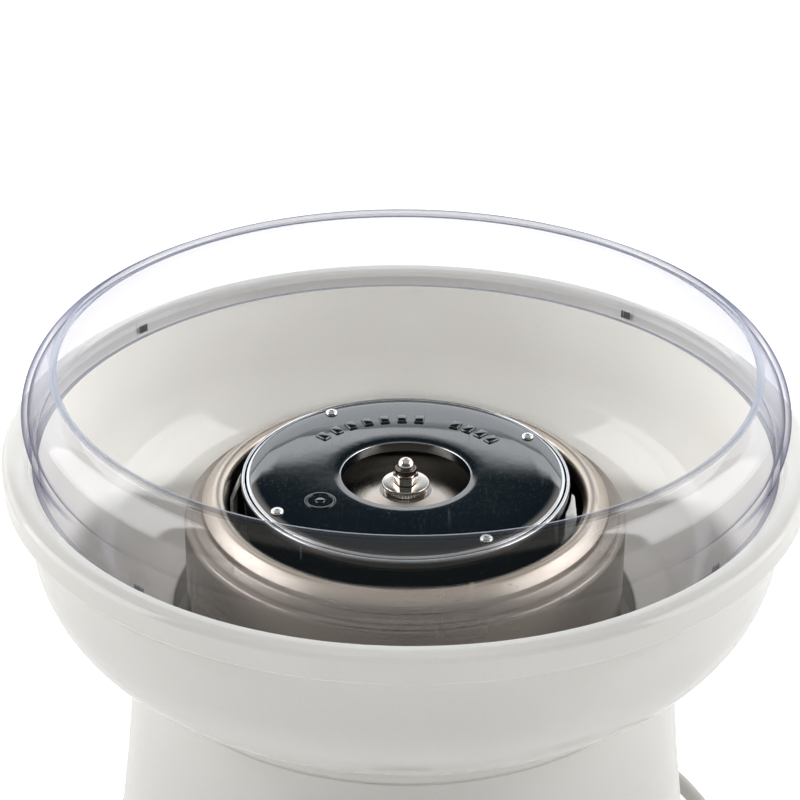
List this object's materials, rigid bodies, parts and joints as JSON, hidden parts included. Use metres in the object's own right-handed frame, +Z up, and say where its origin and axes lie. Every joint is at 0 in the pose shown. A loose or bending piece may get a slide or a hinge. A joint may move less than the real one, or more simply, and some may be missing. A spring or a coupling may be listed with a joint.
{
  "type": "cotton candy machine",
  "caption": "Table-top cotton candy machine: a heated spinning head in a steel shroud, a lift-off floss bowl and a clear rim shield on a round motor base.",
  "frame": {"origin": "on the table, under the centre of the machine, in the plane of the undersides of the feet", "axes": "+Z up along the motor shaft, -Y towards the front with the switch, +X to the machine's right as seen from the front"},
  "size_m": [0.292, 0.292, 0.2384],
  "materials": {
    "bowl_plastic": "glossy off-white",
    "clear_plastic": "clear, polished, faint blue edge",
    "cast_aluminium": "turned inside, black coat outside",
    "black_coating": "glossy black",
    "rivet_aluminium": "bright",
    "plated_steel": "bright plated",
    "shaft_steel": "ground",
    "base_plastic": "satin off-white",
    "cover_plastic": "matt grey",
    "foot_rubber": "matt",
    "screw_steel": "zinc plated",
    "satin_steel": "satin, spun",
    "galvanised_steel": "galvanised",
    "heater_sheath": "heat darkened",
    "ceramic": "unglazed",
    "bracket_steel": "zinc plated",
    "cutout_shell": "drawn",
    "motor_can_steel": "drawn",
    "motor_iron": "laminated",
    "bush_bronze": "sintered",
    "mount_rubber": "matt",
    "fan_plastic": "moulded",
    "switch_black": "satin black",
    "cord_vinyl": "satin off-white",
    "pin_brass": "nickel plated",
    "lead_red": "insulated wire",
    "lead_blue": "insulated wire"
  },
  "bodies": {
    "base": {"base_housing": "base_plastic", "bottom_cover": "cover_plastic", "foot_1": "foot_rubber", "foot_2": "foot_rubber", "foot_3": "foot_rubber", "foot_4": "foot_rubber", "cover_screw_1": "screw_steel", "cover_screw_2": "screw_steel", "cover_screw_3": "screw_steel", "cover_screw_4": "screw_steel", "shroud": "satin_steel", "shroud_screw_1": "screw_steel", "shroud_screw_2": "screw_steel", "shroud_screw_3": "screw_steel", "heat_shield": "galvanised_steel", "heater_element": "heater_sheath", "ceramic_support_1": "ceramic", "ceramic_support_2": "ceramic", "ceramic_support_3": "ceramic", "ceramic_guard": "ceramic", "terminal_bracket": "bracket_steel", "thermal_cutout": "cutout_shell", "motor_can": "motor_can_steel", "motor_end_cap": "motor_can_steel", "motor_stator": "motor_iron", "upper_bush": "bush_bronze", "lower_bush": "bush_bronze", "motor_bracket": "bracket_steel", "motor_mount_1": "mount_rubber", "motor_mount_2": "mount_rubber", "motor_mount_3": "mount_rubber", "switch_bezel": "switch_black", "strain_relief": "cord_vinyl", "power_cord": "cord_vinyl", "plug_body": "cord_vinyl", "plug_pin_1": "pin_brass", "plug_pin_2": "pin_brass", "heater_lead": "lead_red", "motor_lead": "lead_blue"},
    "head": {"motor_shaft": "shaft_steel", "motor_rotor": "motor_iron", "cooling_fan": "fan_plastic", "head_pan": "cast_aluminium", "head_top_plate": "black_coating", "head_rivet_1": "rivet_aluminium", "head_rivet_2": "rivet_aluminium", "head_rivet_3": "rivet_aluminium", "head_rivet_4": "rivet_aluminium", "lock_washer": "plated_steel", "head_washer": "plated_steel", "acorn_nut": "plated_steel"},
    "bowl": {"bowl": "bowl_plastic"},
    "rim_shield": {"rim_shield": "clear_plastic"},
    "switch_rocker": {"switch_rocker": "switch_black"}
  },
  "joints": [
    {"name": "head_spin", "type": "hinge", "parent": "base", "child": "head", "pos_m": [0, 0, 0.17], "axis": [0, 0, 1], "continuous": true},
    {"name": "bowl_lift", "type": "slide", "parent": "base", "child": "bowl", "axis": [0, 0, 1], "range_m": [0, 0.12]},
    {"name": "shield_lift", "type": "slide", "parent": "bowl", "child": "rim_shield", "axis": [0, 0, 1], "range_m": [0, 0.08]},
    {"name": "switch_rock", "type": "hinge", "parent": "base", "child": "switch_rocker", "pos_m": [0, -0.1076, 0.072], "axis": [1, 0, 0], "range_deg": [-16, 0]}
  ]
}
